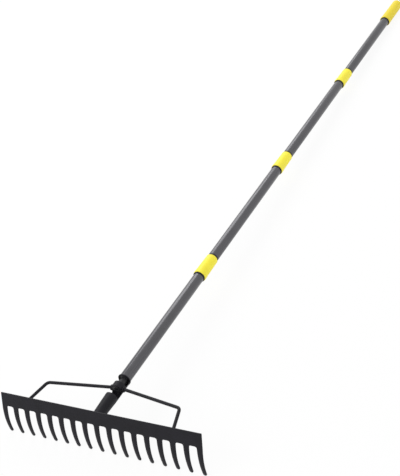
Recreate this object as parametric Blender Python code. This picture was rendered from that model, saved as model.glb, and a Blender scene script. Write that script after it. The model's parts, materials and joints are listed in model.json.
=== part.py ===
"""Garden rake: a pressed seventeen tine head on a handle of four steel tubes screwed together."""

import math

import bmesh
import bpy
from mathutils import Matrix, Vector

MM = 0.001

# Gap left between surfaces that seat on each other
SEAT = 0.3 * MM

# Head plate and tines
HEAD_WIDTH = 430 * MM
TINES = 17
TINE_ROOT_WIDTH = 10.5 * MM
TINE_TIP_WIDTH = 6.8 * MM
TINE_PITCH = (HEAD_WIDTH - TINE_ROOT_WIDTH) / (TINES - 1)
SHEET = 2.4 * MM
PLATE_HEIGHT = 25.2 * MM
GAP_CORNER = 4.0 * MM
TINE_STRAIGHT = 30.0 * MM
TINE_BEND_RADIUS = 115 * MM
TINE_BEND = math.radians(26.5)
TINE_LENGTH = TINE_STRAIGHT + TINE_BEND_RADIUS * TINE_BEND
TINE_ROWS = 7
ROUND_STEPS = 3

# Handle axis: measured from the back of the plate, leaning up from the plate's normal
HANDLE_ANGLE = math.radians(22.6)
AXIS_BELOW_TOP = 13.4 * MM

# Socket sleeve
SLEEVE_OUTER = 12.0 * MM
SLEEVE_FOOT_OUTER = 10.3 * MM
SLEEVE_TAPER_END = 48.0 * MM
SLEEVE_WALL = 1.9 * MM
SLEEVE_INNER = SLEEVE_OUTER - SLEEVE_WALL
SLEEVE_LENGTH = 98.8 * MM
RIM_LENGTH = 5.4 * MM
RIM_OUTER = 12.6 * MM
RIM_CHAMFER = 0.8 * MM
SEAT_DEPTH = 2.2 * MM
LOWER_WINDOW = (53.0 * MM, 69.7 * MM)
LOWER_WINDOW_FLOOR = -5.0 * MM
UPPER_WINDOW = (82.0 * MM, 96.2 * MM)
UPPER_WINDOW_FLOOR = -2.8 * MM
WINDOW_CORNER = 3.0 * MM
WINDOW_STEPS = 3
MITRE_STOCK = 12.0 * MM
CUT_REACH = 30.0 * MM

# Spigot between the sleeve and the first tube
SPIGOT_NECK = 6.5 * MM
SPIGOT_GRIP = 30.0 * MM
SPIGOT_GRIP_LIFT = 0.6 * MM
SHOULDER_INSET = 0.6 * MM

# Brace rods
ROD_RADIUS = 3.0 * MM
ROD_FOOT_INSET = 58.0 * MM
ROD_FOOT_X = HEAD_WIDTH / 2 - ROD_FOOT_INSET
ROD_FOOT_DROP = 10.2 * MM
ROD_LEG_LEAN = 13.4 * MM
ROD_BEND = Vector((ROD_FOOT_X - ROD_LEG_LEAN, 49.8 * MM, 11.6 * MM))
ROD_BEND_RADIUS = 9.0 * MM
ROD_AT_SLEEVE = 74.2 * MM
ROD_STRAIGHT_END = 15.0 * MM
ROD_KNEE_RADIUS = 24.0 * MM
ROD_INNER_END = 6.0 * MM

# Weld beads
WELD_RADIUS = 1.4 * MM
SLEEVE_WELD_RADIUS = 0.9 * MM
WELD_STEPS = 8
WELD_TURN_STEPS = 14
FOOT_WELD_START = math.radians(-48)
FOOT_WELD_END = math.radians(22)
FOOT_WELD_CLEAR = 0.58 * MM

# Tubes
TUBE_OUTER = 11.0 * MM
TUBE_INNER = 10.0 * MM

# Screwed couplers
COUPLER_LENGTH = 57.0 * MM
COUPLER_PITCH = 376.2 * MM
FIRST_COUPLER = 390.8 * MM
COUPLER_BEAD = 13.3 * MM
COUPLER_BEAD_HEIGHT = 9.0 * MM
COUPLER_BEAD_FADE = 14.0 * MM
COUPLER_CHAMFER = 0.9 * MM
COUPLER_CHAMFER_HEIGHT = 1.5 * MM
COUPLER_TAPER_START = 22.0 * MM
COUPLER_TAPER_DROP = 9.0 * MM
COUPLER_TOP_ROUND = 1.1 * MM
COUPLER_TOP_ROUND_HEIGHT = 1.4 * MM
COUPLER_LOW = 12.8 * MM
COUPLER_HIGH = 12.3 * MM
TUBE_IN_COUPLER = 28.0 * MM
WASHER = 1.2 * MM
WASHER_PROUD = 0.15 * MM
FLANGE = 1.8 * MM

# Rubber rings round the tubes at the mouths of the couplers and of the cap
RING_LENGTH = 2.0 * MM
RING_OUTER = 12.4 * MM
RING_CHAMFER = 0.5 * MM

# Coupler thread
THREAD_PITCH = 5.0 * MM
THREAD_STEPS = 16
MALE_MINOR = 7.2 * MM
MALE_MAJOR = 8.6 * MM
CREST_HALF = 0.6 * MM
ROOT_HALF = 1.2 * MM
THREAD_RADIAL_GAP = 0.4 * MM
THREAD_FLANK_GAP = 0.35 * MM
MALE_THREAD = (32.5 * MM, 48.5 * MM)
THREAD_LEAD_IN = 6.0 * MM
THREAD_MOUTH_GAP = 0.3 * MM
THREAD_RUN_OUT = 2.0 * MM
GROOVE_OVERCUT = 0.6 * MM
RIDGE_ROOT = 0.7 * MM
PLUG_CHAMFER = 1.0 * MM
PLUG_LOW_END = 31.0 * MM
PLUG_GRIP = 28.0 * MM
PLUG_BORE = 4.0 * MM

# End cap
CAP_START = 1475.0 * MM
CAP_LENGTH = 105.5 * MM
CAP_MOUTH = 13.7 * MM
CAP_MOUTH_HEIGHT = 6.0 * MM
CAP_MOUTH_FADE = 9.0 * MM
CAP_CHAMFER = 0.8 * MM
CAP_CHAMFER_HEIGHT = 1.4 * MM
CAP_LOW = 13.4 * MM
CAP_HIGH = 12.9 * MM
CAP_DOME = 8.0 * MM
CAP_DOME_STEPS = 5
TUBE_IN_CAP = 86.0 * MM

# Facets of turned pieces and of the pieces inside
ROUND = 32
ROUND_INSIDE = 24


def material(name, colour, roughness, metallic):
    """A plain surface finish."""
    made = bpy.data.materials.new(name)
    made.use_nodes = True
    shader = made.node_tree.nodes["Principled BSDF"]
    shader.inputs["Base Color"].default_value = (*colour, 1.0)
    shader.inputs["Roughness"].default_value = roughness
    shader.inputs["Metallic"].default_value = metallic
    made.diffuse_color = (*colour, 1.0)
    return made


def add_object(name, data, finish, parent):
    """One named piece under its parent."""
    piece = bpy.data.objects.new(name, data)
    bpy.context.scene.collection.objects.link(piece)
    piece.parent = parent
    if not data.materials:
        data.materials.append(finish)
    return piece


def empty(name, parent=None, matrix=None):
    """A frame that carries pieces."""
    frame = bpy.data.objects.new(name, None)
    frame.empty_display_size = 0.02
    bpy.context.scene.collection.objects.link(frame)
    frame.parent = parent
    if matrix is not None:
        frame.matrix_local = matrix
    return frame


def mesh_from(name, bm, smooth_angle=35):
    """Close a bmesh into a mesh with outward faces and smooth round walls."""
    bmesh.ops.remove_doubles(bm, verts=bm.verts, dist=1e-6)
    bmesh.ops.recalc_face_normals(bm, faces=bm.faces)
    mesh = bpy.data.meshes.new(name)
    bm.to_mesh(mesh)
    bm.free()
    mesh.shade_smooth()
    mesh.set_sharp_from_angle(angle=math.radians(smooth_angle))
    return mesh


def lathe_bm(profile, segments=ROUND):
    """Turn a closed outline of radius and height about the local Z axis."""
    bm = bmesh.new()
    ring = [bm.verts.new((radius, 0.0, height)) for radius, height in profile]
    edges = [bm.edges.new((ring[i - 1], ring[i])) for i in range(len(ring))]
    bmesh.ops.spin(
        bm,
        geom=ring + edges,
        cent=(0, 0, 0),
        axis=(0, 0, 1),
        angle=2 * math.pi,
        steps=segments,
        use_merge=True,
    )
    bmesh.ops.remove_doubles(bm, verts=bm.verts, dist=1e-6)
    bmesh.ops.dissolve_degenerate(bm, edges=bm.edges, dist=1e-7)
    loose = [vert for vert in bm.verts if not vert.link_faces]
    bmesh.ops.delete(bm, geom=loose, context="VERTS")
    return bm


def lathe(name, profile, segments=ROUND):
    """A turned mesh."""
    return mesh_from(name, lathe_bm(profile, segments))


def helix(name, profile, start, turns):
    """Sweep a closed outline of radius and height up the thread's helix from a start height."""
    bm = bmesh.new()
    phase = 2 * math.pi * start / THREAD_PITCH
    turn = Matrix.Rotation(phase, 3, "Z")
    verts = [bm.verts.new(turn @ Vector((radius, 0.0, start + height))) for radius, height in profile]
    face = bm.faces.new(verts)
    steps = round(turns * THREAD_STEPS)
    bmesh.ops.spin(
        bm,
        geom=[face],
        cent=(0, 0, 0),
        axis=(0, 0, 1),
        dvec=(0, 0, THREAD_PITCH / THREAD_STEPS),
        angle=2 * math.pi * steps / THREAD_STEPS,
        steps=steps,
    )
    return mesh_from(name, bm)


def combined(name, base, tools):
    """The mesh of a base with other meshes joined on or cut away."""
    work = bpy.data.objects.new(name, base)
    bpy.context.scene.collection.objects.link(work)
    helpers = []
    for operation, mesh, matrix in tools:
        helper = bpy.data.objects.new(name + " tool", mesh)
        helper.matrix_world = matrix
        helper.hide_render = True
        helper.display_type = "WIRE"
        bpy.context.scene.collection.objects.link(helper)
        modifier = work.modifiers.new(operation, "BOOLEAN")
        modifier.operation = operation
        modifier.solver = "EXACT"
        modifier.object = helper
        helpers.append(helper)
    bpy.context.view_layer.update()
    graph = bpy.context.evaluated_depsgraph_get()
    mesh = bpy.data.meshes.new_from_object(work.evaluated_get(graph))
    mesh.name = name
    bpy.data.objects.remove(work)
    for helper in helpers:
        bpy.data.objects.remove(helper)
    bm = bmesh.new()
    bm.from_mesh(mesh)
    bmesh.ops.remove_doubles(bm, verts=bm.verts, dist=2e-6)
    bmesh.ops.dissolve_degenerate(bm, edges=bm.edges, dist=2e-6)
    bm.to_mesh(mesh)
    bm.free()
    mesh.shade_smooth()
    mesh.set_sharp_from_angle(angle=math.radians(35))
    return mesh


def prism(name, outline, half_width):
    """Extrude an outline of the local YZ plane both ways along X."""
    bm = bmesh.new()
    verts = [bm.verts.new((-half_width, y, z)) for y, z in outline]
    face = bm.faces.new(verts)
    grown = bmesh.ops.extrude_face_region(bm, geom=[face])
    moved = [item for item in grown["geom"] if isinstance(item, bmesh.types.BMVert)]
    bmesh.ops.translate(bm, verts=moved, vec=(2 * half_width, 0, 0))
    return mesh_from(name, bm)


def rod_cutter(name, radius, half_length, middle=0.0, steps=16):
    """A cylinder along X."""
    bm = bmesh.new()
    place = Matrix.Translation((middle, 0, 0)) @ Matrix.Rotation(math.pi / 2, 4, "Y")
    bmesh.ops.create_cone(
        bm,
        cap_ends=True,
        segments=steps,
        radius1=radius,
        radius2=radius,
        depth=2 * half_length,
        matrix=place,
    )
    return mesh_from(name, bm)


def front_point(across, along):
    """Point of the head's front face, by distance along the bent sheet from the top edge."""
    if along <= TINE_STRAIGHT:
        return Vector((across, 0.0, -along))
    bend = (along - TINE_STRAIGHT) / TINE_BEND_RADIUS
    back = TINE_BEND_RADIUS * (1 - math.cos(bend))
    down = TINE_STRAIGHT + TINE_BEND_RADIUS * math.sin(bend)
    return Vector((across, back, -down))


def tine_rows():
    """Half width and distance from the top edge of each row of one tine, from its root to its tip."""
    rows = []
    for step in range(ROUND_STEPS + 1):
        turn = math.pi / 2 * step / ROUND_STEPS
        spread = GAP_CORNER * (1 - math.sin(turn))
        rows.append((TINE_ROOT_WIDTH / 2 + spread, PLATE_HEIGHT + GAP_CORNER * (1 - math.cos(turn))))
    low = PLATE_HEIGHT + GAP_CORNER
    high = TINE_LENGTH - TINE_TIP_WIDTH / 2
    for step in range(1, TINE_ROWS + 1):
        part = step / TINE_ROWS
        half = (TINE_ROOT_WIDTH + (TINE_TIP_WIDTH - TINE_ROOT_WIDTH) * part) / 2
        rows.append((half, low + (high - low) * part))
    for step in range(1, ROUND_STEPS + 1):
        turn = math.pi / 2 * step / ROUND_STEPS
        rows.append((TINE_TIP_WIDTH / 2 * math.cos(turn), high + TINE_TIP_WIDTH / 2 * math.sin(turn)))
    return rows


def head_plate():
    """The pressed plate with its row of bent tines, thickened towards the back."""
    bm = bmesh.new()
    rows = tine_rows()

    def quad(points):
        made = []
        for point in points:
            if not made or (point - made[-1]).length > 1e-7:
                made.append(point)
        if (made[0] - made[-1]).length < 1e-7:
            made.pop()
        bm.faces.new([bm.verts.new(point) for point in made])

    for tine in range(TINES):
        middle = -HEAD_WIDTH / 2 + TINE_ROOT_WIDTH / 2 + TINE_PITCH * tine
        first = tine == 0
        last = tine == TINES - 1

        def left(half):
            return middle - (min(half, TINE_ROOT_WIDTH / 2) if first else half)

        def right(half):
            return middle + (min(half, TINE_ROOT_WIDTH / 2) if last else half)

        wide = rows[0][0]
        columns = [left(wide), right(wide)]
        if not first:
            columns.insert(0, middle - TINE_PITCH / 2)
        if not last:
            columns.append(middle + TINE_PITCH / 2)
        for start, end in zip(columns, columns[1:]):
            quad(
                [
                    front_point(start, 0.0),
                    front_point(start, PLATE_HEIGHT),
                    front_point(end, PLATE_HEIGHT),
                    front_point(end, 0.0),
                ]
            )
        for (half_a, along_a), (half_b, along_b) in zip(rows, rows[1:]):
            quad(
                [
                    front_point(left(half_a), along_a),
                    front_point(left(half_b), along_b),
                    front_point(right(half_b), along_b),
                    front_point(right(half_a), along_a),
                ]
            )
    bmesh.ops.remove_doubles(bm, verts=bm.verts, dist=1e-6)
    mesh = bpy.data.meshes.new("head_plate")
    bm.to_mesh(mesh)
    bm.free()
    work = bpy.data.objects.new("head_plate", mesh)
    bpy.context.scene.collection.objects.link(work)
    modifier = work.modifiers.new("sheet", "SOLIDIFY")
    modifier.thickness = SHEET
    modifier.offset = -1.0
    modifier.use_even_offset = True
    bpy.context.view_layer.update()
    graph = bpy.context.evaluated_depsgraph_get()
    thick = bpy.data.meshes.new_from_object(work.evaluated_get(graph))
    bpy.data.objects.remove(work)
    bm = bmesh.new()
    bm.from_mesh(thick)
    return mesh_from("head_plate", bm, 30)


def sleeve_mesh():
    """The rolled socket sleeve: a rimmed mouth, two windows on its upper side, a narrower mitred foot."""
    outer = SLEEVE_OUTER
    inner = SLEEVE_INNER
    below = -MITRE_STOCK
    low_outer = SLEEVE_FOOT_OUTER + (outer - SLEEVE_FOOT_OUTER) * below / SLEEVE_TAPER_END
    top = SLEEVE_LENGTH
    rim = top - RIM_LENGTH
    step = top - SEAT_DEPTH
    mouth = TUBE_OUTER + SEAT
    body = lathe(
        "socket_sleeve",
        [
            (low_outer - SLEEVE_WALL, below),
            (low_outer, below),
            (outer, SLEEVE_TAPER_END),
            (outer, rim),
            (RIM_OUTER, rim + RIM_CHAMFER),
            (RIM_OUTER, top - RIM_CHAMFER),
            (RIM_OUTER - RIM_CHAMFER, top),
            (mouth, top),
            (mouth, step),
            (inner, step),
            (inner, SLEEVE_TAPER_END),
        ],
    )
    tools = []
    reach = CUT_REACH
    rise = reach * math.tan(HANDLE_ANGLE)
    seat = SEAT / math.cos(HANDLE_ANGLE)
    # The plate's back stands at the handle angle to the sleeve's own cross plane
    outline = [(-reach, seat - rise), (-reach, -2 * reach), (reach, -2 * reach), (reach, seat + rise)]
    tools.append(("DIFFERENCE", prism("mitre", outline, reach), Matrix.Identity(4)))
    windows = ((LOWER_WINDOW, LOWER_WINDOW_FLOOR), (UPPER_WINDOW, UPPER_WINDOW_FLOOR))
    for (low, high), floor in windows:
        outline = [(reach, high), (reach, low)]
        turns = [math.pi / 2 * turn / WINDOW_STEPS for turn in range(WINDOW_STEPS + 1)]
        centre = floor + WINDOW_CORNER
        for turn in turns:
            side = low + WINDOW_CORNER - WINDOW_CORNER * math.cos(turn)
            outline.append((centre - WINDOW_CORNER * math.sin(turn), side))
        for turn in reversed(turns):
            side = high - WINDOW_CORNER + WINDOW_CORNER * math.cos(turn)
            outline.append((centre - WINDOW_CORNER * math.sin(turn), side))
        tools.append(("DIFFERENCE", prism("window", outline, reach), Matrix.Identity(4)))
    hole = rod_cutter("rod hole", ROD_RADIUS + SEAT, reach)
    tools.append(("DIFFERENCE", hole, Matrix.Translation((0, 0, ROD_AT_SLEEVE))))
    return combined("socket_sleeve", body, tools)


def spigot_mesh():
    """The spigot held in the sleeve by the rod ends and pressed into the first tube."""
    seat = SLEEVE_LENGTH - SEAT_DEPTH
    grip_low = seat + SEAT + SPIGOT_GRIP_LIFT
    shoulder_low = LOWER_WINDOW[1] + SHOULDER_INSET
    shoulder_high = UPPER_WINDOW[0] - SHOULDER_INSET
    body = lathe(
        "spigot",
        [
            (0.0, shoulder_low),
            (SLEEVE_INNER - SEAT, shoulder_low),
            (SLEEVE_INNER - SEAT, shoulder_high),
            (SPIGOT_NECK, shoulder_high),
            (SPIGOT_NECK, grip_low),
            (TUBE_INNER - SEAT, grip_low),
            (TUBE_INNER - SEAT, grip_low + SPIGOT_GRIP),
            (0.0, grip_low + SPIGOT_GRIP),
        ],
        ROUND_INSIDE,
    )
    tools = []
    inner = ROD_INNER_END - SEAT
    half = SLEEVE_INNER
    for side in (-1, 1):
        hole = rod_cutter("rod seat", ROD_RADIUS + SEAT, half, side * (inner + half))
        tools.append(("DIFFERENCE", hole, Matrix.Translation((0, 0, ROD_AT_SLEEVE))))
    return combined("spigot", body, tools)


def tube(name, length):
    """A thin walled steel tube."""
    return lathe(
        name,
        [
            (TUBE_INNER, 0.0),
            (TUBE_OUTER, 0.0),
            (TUBE_OUTER, length),
            (TUBE_INNER, length),
        ],
    )


def coupler_mesh():
    """A yellow coupler: its lower bore takes one tube, its upper bore is threaded for the next."""
    top = COUPLER_LENGTH
    bore = MALE_MINOR + THREAD_RADIAL_GAP
    socket = TUBE_OUTER + SEAT
    crest = MALE_MAJOR + THREAD_RADIAL_GAP
    mouth = crest + THREAD_MOUTH_GAP
    body = lathe(
        "coupler",
        [
            (socket, 0.0),
            (COUPLER_BEAD - COUPLER_CHAMFER, 0.0),
            (COUPLER_BEAD, COUPLER_CHAMFER_HEIGHT),
            (COUPLER_BEAD, COUPLER_BEAD_HEIGHT),
            (COUPLER_LOW, COUPLER_BEAD_FADE),
            (COUPLER_LOW, COUPLER_TAPER_START),
            (COUPLER_HIGH, top - COUPLER_TAPER_DROP),
            (COUPLER_HIGH, top - COUPLER_TOP_ROUND_HEIGHT),
            (COUPLER_HIGH - COUPLER_TOP_ROUND, top),
            (mouth, top),
            (mouth, top - THREAD_LEAD_IN),
            (bore, top - THREAD_LEAD_IN),
            (bore, TUBE_IN_COUPLER + SEAT),
            (socket, TUBE_IN_COUPLER + SEAT),
        ],
    )
    low = TUBE_IN_COUPLER - THREAD_RUN_OUT
    turns = (top - THREAD_LEAD_IN + THREAD_RUN_OUT - low) / THREAD_PITCH
    slope = (ROOT_HALF - CREST_HALF) / (MALE_MAJOR - MALE_MINOR)
    inner = bore - GROOVE_OVERCUT
    narrow = CREST_HALF + THREAD_FLANK_GAP - slope * (crest - MALE_MAJOR)
    wide = CREST_HALF + THREAD_FLANK_GAP + slope * (MALE_MAJOR - inner)
    groove = helix("groove", [(inner, -wide), (crest, -narrow), (crest, narrow), (inner, wide)], low, turns)
    return combined("coupler", body, [("DIFFERENCE", groove, Matrix.Identity(4))])


def plug_mesh():
    """The threaded plug fixed in the foot of an upper tube, placed as it stands in the coupler."""
    flange = COUPLER_LENGTH + SEAT + WASHER + SEAT
    grip = flange + FLANGE + PLUG_GRIP
    body = lathe(
        "threaded_plug",
        [
            (PLUG_BORE, PLUG_LOW_END),
            (MALE_MINOR - PLUG_CHAMFER, PLUG_LOW_END),
            (MALE_MINOR, PLUG_LOW_END + PLUG_CHAMFER),
            (MALE_MINOR, flange),
            (TUBE_OUTER, flange),
            (TUBE_OUTER, flange + FLANGE),
            (TUBE_INNER - SEAT, flange + FLANGE),
            (TUBE_INNER - SEAT, grip),
            (PLUG_BORE, grip),
        ],
        ROUND_INSIDE,
    )
    slope = (ROOT_HALF - CREST_HALF) / (MALE_MAJOR - MALE_MINOR)
    inner = MALE_MINOR - RIDGE_ROOT
    wide = CREST_HALF + slope * (MALE_MAJOR - inner)
    low, high = MALE_THREAD
    ridge = helix(
        "ridge",
        [(inner, -wide), (MALE_MAJOR, -CREST_HALF), (MALE_MAJOR, CREST_HALF), (inner, wide)],
        low,
        (high - low) / THREAD_PITCH,
    )
    return combined("threaded_plug", body, [("UNION", ridge, Matrix.Identity(4))])


def washer_mesh():
    """The flat sealing washer between a coupler and the next tube's plug."""
    low = COUPLER_LENGTH + SEAT
    hole = MALE_MINOR + SEAT
    rim = TUBE_OUTER + WASHER_PROUD
    return lathe(
        "washer",
        [(hole, low), (rim, low), (rim, low + WASHER), (hole, low + WASHER)],
        ROUND_INSIDE,
    )


def ring_mesh():
    """The rubber ring that closes a mouth round its tube, with its top at height zero."""
    bore = TUBE_OUTER + SEAT
    low = -SEAT - RING_LENGTH
    return lathe(
        "ring",
        [
            (bore, low),
            (RING_OUTER - RING_CHAMFER, low),
            (RING_OUTER, low + RING_CHAMFER),
            (RING_OUTER, -SEAT),
            (bore, -SEAT),
        ],
    )


def cap_mesh():
    """The end cap: a long sleeve over the last tube with a domed end."""
    bore = TUBE_OUTER + SEAT
    shoulder = CAP_LENGTH - CAP_DOME
    outline = [
        (bore, 0.0),
        (CAP_MOUTH - CAP_CHAMFER, 0.0),
        (CAP_MOUTH, CAP_CHAMFER_HEIGHT),
        (CAP_MOUTH, CAP_MOUTH_HEIGHT),
        (CAP_LOW, CAP_MOUTH_FADE),
        (CAP_HIGH, shoulder),
    ]
    for step in range(1, CAP_DOME_STEPS):
        turn = math.pi / 2 * step / CAP_DOME_STEPS
        outline.append((CAP_HIGH * math.cos(turn), shoulder + CAP_DOME * math.sin(turn)))
    outline += [(0.0, CAP_LENGTH), (0.0, TUBE_IN_CAP + SEAT), (bore, TUBE_IN_CAP + SEAT)]
    return lathe("end_cap", outline)


def rounded_path(corners, radii, steps=5):
    """A path of straight runs with an arc of the given radius at each inner corner."""
    path = [corners[0]]
    for before, corner, after, radius in zip(corners, corners[1:], corners[2:], radii):
        first = (before - corner).normalized()
        second = (after - corner).normalized()
        half = first.angle(second) / 2
        run = radius / math.tan(half)
        centre = corner + (first + second).normalized() * (radius / math.sin(half))
        start = corner + first * run - centre
        end = corner + second * run - centre
        sweep = start.angle(end)
        for step in range(steps + 1):
            part = step / steps
            share = (start * math.sin((1 - part) * sweep) + end * math.sin(part * sweep)) / math.sin(sweep)
            path.append(centre + share)
    path.append(corners[-1])
    return path


def bent_rod(name, path, radius, finish, parent, sides=4):
    """A round rod along a path, closed at both ends."""
    curve = bpy.data.curves.new(name, "CURVE")
    curve.dimensions = "3D"
    curve.twist_mode = "MINIMUM"
    spline = curve.splines.new("POLY")
    spline.points.add(len(path) - 1)
    for point, place in zip(spline.points, path):
        point.co = (*place, 1.0)
    curve.bevel_depth = radius
    curve.bevel_resolution = sides
    curve.use_fill_caps = True
    return add_object(name, curve, finish, parent)


def weld_ring(name, rod_radius, bead):
    """A bead of weld about a rod, turned about Z."""
    middle = rod_radius + SEAT + bead
    outline = []
    for step in range(WELD_STEPS):
        turn = 2 * math.pi * step / WELD_STEPS
        outline.append((middle + bead * math.cos(turn), bead * math.sin(turn)))
    return lathe(name, outline, WELD_TURN_STEPS)


def rest_lean(handle_foot, handle_line):
    """Lean of the plate that sets the tine tips and the cap's end on one floor."""
    tip = front_point(0.0, TINE_LENGTH)
    end = handle_foot + handle_line * (CAP_START + CAP_LENGTH - CAP_DOME)
    span = end - tip
    return math.atan2(span.z, span.y) - math.asin(CAP_HIGH / span.length)


def stand_on_origin(root):
    """Move the root so that the rake stands on the origin, centred over it."""
    bpy.context.view_layer.update()
    graph = bpy.context.evaluated_depsgraph_get()
    low = Vector((1e9, 1e9, 1e9))
    high = -low
    for piece in bpy.context.scene.objects:
        if piece.type not in {"MESH", "CURVE"}:
            continue
        solid = piece.evaluated_get(graph)
        for vert in solid.to_mesh().vertices:
            place = solid.matrix_world @ vert.co
            low = Vector(map(min, low, place))
            high = Vector(map(max, high, place))
        solid.to_mesh_clear()
    middle = (low + high) / 2
    root.location -= Vector((middle.x, middle.y, low.z))
    bpy.context.view_layer.update()


def main():
    for item in list(bpy.data.objects):
        bpy.data.objects.remove(item, do_unlink=True)
    coat = material("black_coat", (0.022, 0.022, 0.026), 0.45, 0.0)
    weld = material("black_weld", (0.026, 0.026, 0.028), 0.6, 0.0)
    grey = material("grey_steel", (0.20, 0.20, 0.21), 0.35, 0.6)
    yellow = material("yellow_plastic", (0.93, 0.78, 0.06), 0.4, 0.0)
    nylon = material("black_nylon", (0.03, 0.03, 0.032), 0.5, 0.0)
    rubber = material("washer_rubber", (0.02, 0.02, 0.02), 0.8, 0.0)

    handle_foot = Vector((0.0, SHEET, -AXIS_BELOW_TOP))
    handle_line = Vector((0.0, math.cos(HANDLE_ANGLE), math.sin(HANDLE_ANGLE)))
    lean = rest_lean(handle_foot, handle_line)

    root = empty("rake")
    head = empty("head_frame", root, Matrix.Rotation(-lean, 4, "X"))
    # The handle frame has its Z along the handle and its Y away from the floor
    tilt = Matrix.Rotation(HANDLE_ANGLE, 4, "X") @ Matrix.Rotation(-math.pi / 2, 4, "X")
    flip = Matrix.Rotation(math.pi, 4, "Z")
    handle = empty("handle_frame", head, Matrix.Translation(handle_foot) @ tilt @ flip)

    add_object("head_plate", head_plate(), coat, head)
    add_object("socket_sleeve", sleeve_mesh(), coat, handle)
    add_object("spigot", spigot_mesh(), nylon, handle)

    at_sleeve = handle_foot + handle_line * ROD_AT_SLEEVE
    for side, word in ((-1, "left"), (1, "right")):
        foot = Vector((side * ROD_FOOT_X, SHEET + SEAT, -ROD_FOOT_DROP))
        bend = Vector((side * ROD_BEND.x, ROD_BEND.y, ROD_BEND.z))
        knee = at_sleeve + Vector((side * ROD_STRAIGHT_END, 0, 0))
        end = at_sleeve + Vector((side * ROD_INNER_END, 0, 0))
        line = (bend - foot).normalized()
        # The rod's end is cut square, so it starts far enough out for its edge to clear the plate
        clear = ROD_RADIUS * math.sqrt(1 - line.y**2) / line.y
        path = rounded_path([foot + line * clear, bend, knee, end], [ROD_BEND_RADIUS, ROD_KNEE_RADIUS])
        bent_rod("brace_rod_" + word, path, ROD_RADIUS, coat, head)

        height = SEAT + WELD_RADIUS
        centre = foot + line * (height / line.y)
        centre.y = SHEET + height
        mesh = weld_ring("plate_weld", ROD_RADIUS / line.y, WELD_RADIUS)
        ring = add_object("plate_weld_" + word, mesh, weld, head)
        ring.matrix_local = Matrix.Translation(centre) @ Matrix.Rotation(math.pi / 2, 4, "X")
        mesh = weld_ring("sleeve_weld", ROD_RADIUS, SLEEVE_WELD_RADIUS)
        ring = add_object("sleeve_weld_" + word, mesh, weld, head)
        centre = at_sleeve + Vector((side * (SLEEVE_OUTER + SEAT + SLEEVE_WELD_RADIUS), 0, 0))
        ring.matrix_local = Matrix.Translation(centre) @ Matrix.Rotation(math.pi / 2, 4, "Y")

        # The bead beside the sleeve follows its mitred foot along the back of the plate
        reach = SLEEVE_FOOT_OUTER + WELD_RADIUS + FOOT_WELD_CLEAR
        path = []
        for step in range(WELD_STEPS + 1):
            turn = FOOT_WELD_START + (FOOT_WELD_END - FOOT_WELD_START) * step / WELD_STEPS
            up = reach * math.sin(turn) / math.cos(HANDLE_ANGLE) + height * math.tan(HANDLE_ANGLE)
            path.append(Vector((side * reach * math.cos(turn), SHEET + height, up - AXIS_BELOW_TOP)))
        bent_rod("foot_weld_" + word, path, WELD_RADIUS, weld, head, 2)

    coupler = coupler_mesh()
    plug = plug_mesh()
    washer = washer_mesh()
    ring = ring_mesh()
    tube_foot = SLEEVE_LENGTH - SEAT_DEPTH + SEAT
    carrier = handle
    offset = 0.0
    for number in range(1, 4):
        base = FIRST_COUPLER + COUPLER_PITCH * (number - 1)
        length = base + TUBE_IN_COUPLER - tube_foot
        piece = add_object("tube_%d" % number, tube("tube", length), grey, carrier)
        piece.location = (0, 0, tube_foot - offset)
        piece = add_object("coupler_%d" % number, coupler, yellow, carrier)
        piece.location = (0, 0, base - offset)
        piece = add_object("coupler_ring_%d" % number, ring, rubber, carrier)
        piece.location = (0, 0, base - offset)
        lift = empty("washer_frame_%d" % number, carrier, Matrix.Translation((0, 0, base - offset)))
        add_object("washer_%d" % number, washer, rubber, lift)
        carrier = empty("screw_frame_%d" % number, lift)
        offset = base
        add_object("threaded_plug_%d" % number, plug, nylon, carrier)
        tube_foot = base + COUPLER_LENGTH + SEAT + WASHER + SEAT + FLANGE + SEAT
    length = CAP_START + TUBE_IN_CAP - tube_foot
    piece = add_object("tube_4", tube("tube", length), grey, carrier)
    piece.location = (0, 0, tube_foot - offset)
    piece = add_object("end_cap", cap_mesh(), yellow, carrier)
    piece.location = (0, 0, CAP_START - offset)
    piece = add_object("cap_ring", ring, rubber, carrier)
    piece.location = (0, 0, CAP_START - offset)

    stand_on_origin(root)


main()
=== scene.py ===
"""Garden rake: the finished surface of every piece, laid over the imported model's frame."""

import json
import math

import bmesh
import bpy
import numpy as np
from bpy.props import FloatProperty, FloatVectorProperty, IntProperty, PointerProperty
from mathutils import Matrix, Vector

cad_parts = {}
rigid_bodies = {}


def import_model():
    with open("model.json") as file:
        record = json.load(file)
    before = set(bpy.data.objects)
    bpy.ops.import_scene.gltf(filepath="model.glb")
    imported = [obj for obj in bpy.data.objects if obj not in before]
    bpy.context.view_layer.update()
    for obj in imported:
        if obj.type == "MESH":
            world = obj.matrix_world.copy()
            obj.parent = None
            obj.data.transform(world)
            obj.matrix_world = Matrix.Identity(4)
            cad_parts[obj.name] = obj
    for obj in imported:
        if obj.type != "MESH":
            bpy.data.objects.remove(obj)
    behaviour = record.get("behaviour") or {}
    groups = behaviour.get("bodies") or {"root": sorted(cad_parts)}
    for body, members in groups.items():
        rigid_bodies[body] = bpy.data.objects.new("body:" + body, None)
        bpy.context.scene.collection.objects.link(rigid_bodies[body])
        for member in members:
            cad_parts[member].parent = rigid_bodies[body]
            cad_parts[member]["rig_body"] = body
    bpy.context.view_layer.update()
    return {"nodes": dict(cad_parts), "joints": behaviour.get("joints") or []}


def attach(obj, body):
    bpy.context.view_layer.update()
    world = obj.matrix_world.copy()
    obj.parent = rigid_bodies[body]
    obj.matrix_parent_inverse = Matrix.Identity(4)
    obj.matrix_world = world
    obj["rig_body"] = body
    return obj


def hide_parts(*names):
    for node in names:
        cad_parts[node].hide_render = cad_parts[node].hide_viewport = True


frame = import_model()

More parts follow.
